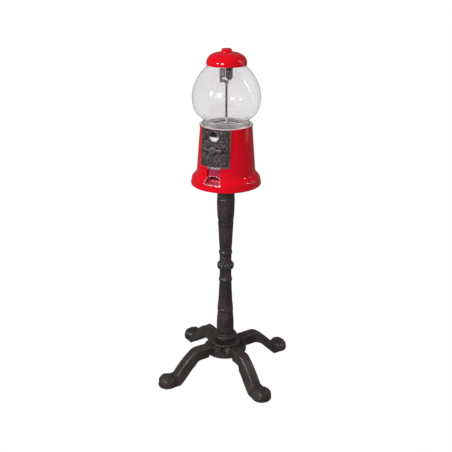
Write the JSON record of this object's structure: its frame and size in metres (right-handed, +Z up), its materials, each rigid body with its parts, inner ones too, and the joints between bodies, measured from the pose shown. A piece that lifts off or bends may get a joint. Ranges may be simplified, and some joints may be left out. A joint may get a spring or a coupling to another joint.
{
  "type": "gumball machine",
  "caption": "Coin-operated gumball machine with a glass globe and a lift-off locking lid, on a cast pedestal stand with cabriole legs and scroll feet.",
  "frame": {"origin": "on the floor, on the column's axis, midway between the feet", "axes": "+Z up, -Y towards the front of the coin mechanism, +X to the right of someone who faces the machine"},
  "size_m": [0.3814, 0.3814, 0.9392],
  "materials": {
    "cast_iron": "satin black-brown paint over cast iron",
    "dark_steel": "blackened steel",
    "zinc_plated_steel": "zinc-plated steel",
    "red_enamel": "high-gloss red enamel",
    "black_casting": "satin black, worn to grey on the relief",
    "bright_zinc": "bright zinc",
    "hard_steel": "bare steel",
    "polished_steel": "polished steel",
    "chrome_sheet": "chromed sheet",
    "grey_casting": "grey die casting",
    "white_plastic": "moulded plastic",
    "grey_sheet": "grey steel sheet",
    "lock_steel": "dark nickel",
    "clear_glass": "clear glass",
    "black_rubber": "soft black rubber"
  },
  "bodies": {
    "machine_and_stand": {"hub": "cast_iron", "hub_disc": "cast_iron", "front_right_leg": "cast_iron", "rear_right_leg": "cast_iron", "rear_left_leg": "cast_iron", "front_left_leg": "cast_iron", "leg_bolts": "dark_steel", "lower_column": "cast_iron", "middle_collar": "cast_iron", "upper_column": "cast_iron", "stand_top_plate": "cast_iron", "tie_rod": "zinc_plated_steel", "tie_rod_nuts": "zinc_plated_steel", "base_plate": "zinc_plated_steel", "base_screws": "zinc_plated_steel", "machine_bolts": "zinc_plated_steel", "machine_nuts": "zinc_plated_steel", "body_shell": "red_enamel", "faceplate": "black_casting", "coin_seat": "bright_zinc", "mech_plate": "zinc_plated_steel", "mech_screws": "zinc_plated_steel", "pawl_pivot": "zinc_plated_steel", "pawl_spring": "hard_steel", "hopper_pan": "grey_casting", "pan_screws": "zinc_plated_steel", "ball_guard": "chrome_sheet", "chute": "grey_casting", "tray": "red_enamel", "door_pin": "zinc_plated_steel", "globe_gasket": "black_rubber", "globe": "clear_glass", "center_rod": "polished_steel", "rod_sleeve": "bright_zinc", "rod_nuts": "zinc_plated_steel", "lock_bracket": "grey_sheet", "lid_gasket": "black_rubber"},
    "handle_and_shaft": {"handle": "black_casting", "drive_shaft": "polished_steel", "coin_wheel": "bright_zinc", "ratchet_wheel": "hard_steel", "drive_pinion": "hard_steel"},
    "wheel": {"gumball_wheel": "white_plastic"},
    "pawl_arm": {"pawl": "hard_steel"},
    "door": {"chute_door": "red_enamel"},
    "lid_and_lock": {"lid": "red_enamel", "lid_boss": "red_enamel", "lock_barrel": "lock_steel", "lock_nut": "zinc_plated_steel"},
    "key_plug": {"lock_plug": "polished_steel", "lock_cam": "zinc_plated_steel", "cam_screw": "zinc_plated_steel"}
  },
  "joints": [
    {"name": "handle_turn", "type": "hinge", "parent": "machine_and_stand", "child": "handle_and_shaft", "pos_m": [0, -0.08, 0.6925], "axis": [0, 1, 0], "continuous": true},
    {"name": "wheel_spin", "type": "hinge", "parent": "machine_and_stand", "child": "wheel", "pos_m": [0, 0, 0.701], "axis": [0, 0, 1], "continuous": true},
    {"name": "pawl_swing", "type": "hinge", "parent": "machine_and_stand", "child": "pawl_arm", "pos_m": [0.029, -0.0459, 0.6945], "axis": [0, -1, 0], "range_deg": [0, 6]},
    {"name": "door_swing", "type": "hinge", "parent": "machine_and_stand", "child": "door", "pos_m": [0, -0.071, 0.637], "axis": [-1, 0, 0], "range_deg": [0, 75]},
    {"name": "lid_lift", "type": "slide", "parent": "machine_and_stand", "child": "lid_and_lock", "axis": [0, 0, 1], "range_m": [0, 0.1]},
    {"name": "lock_turn", "type": "hinge", "parent": "lid_and_lock", "child": "key_plug", "pos_m": [0.00634, 0.00296, 0.882], "axis": [0, 0, -1], "range_deg": [0, 90]}
  ],
  "couplings": [
    {"joint": "wheel_spin", "follows": "handle_turn", "ratio": 0.25}
  ]
}
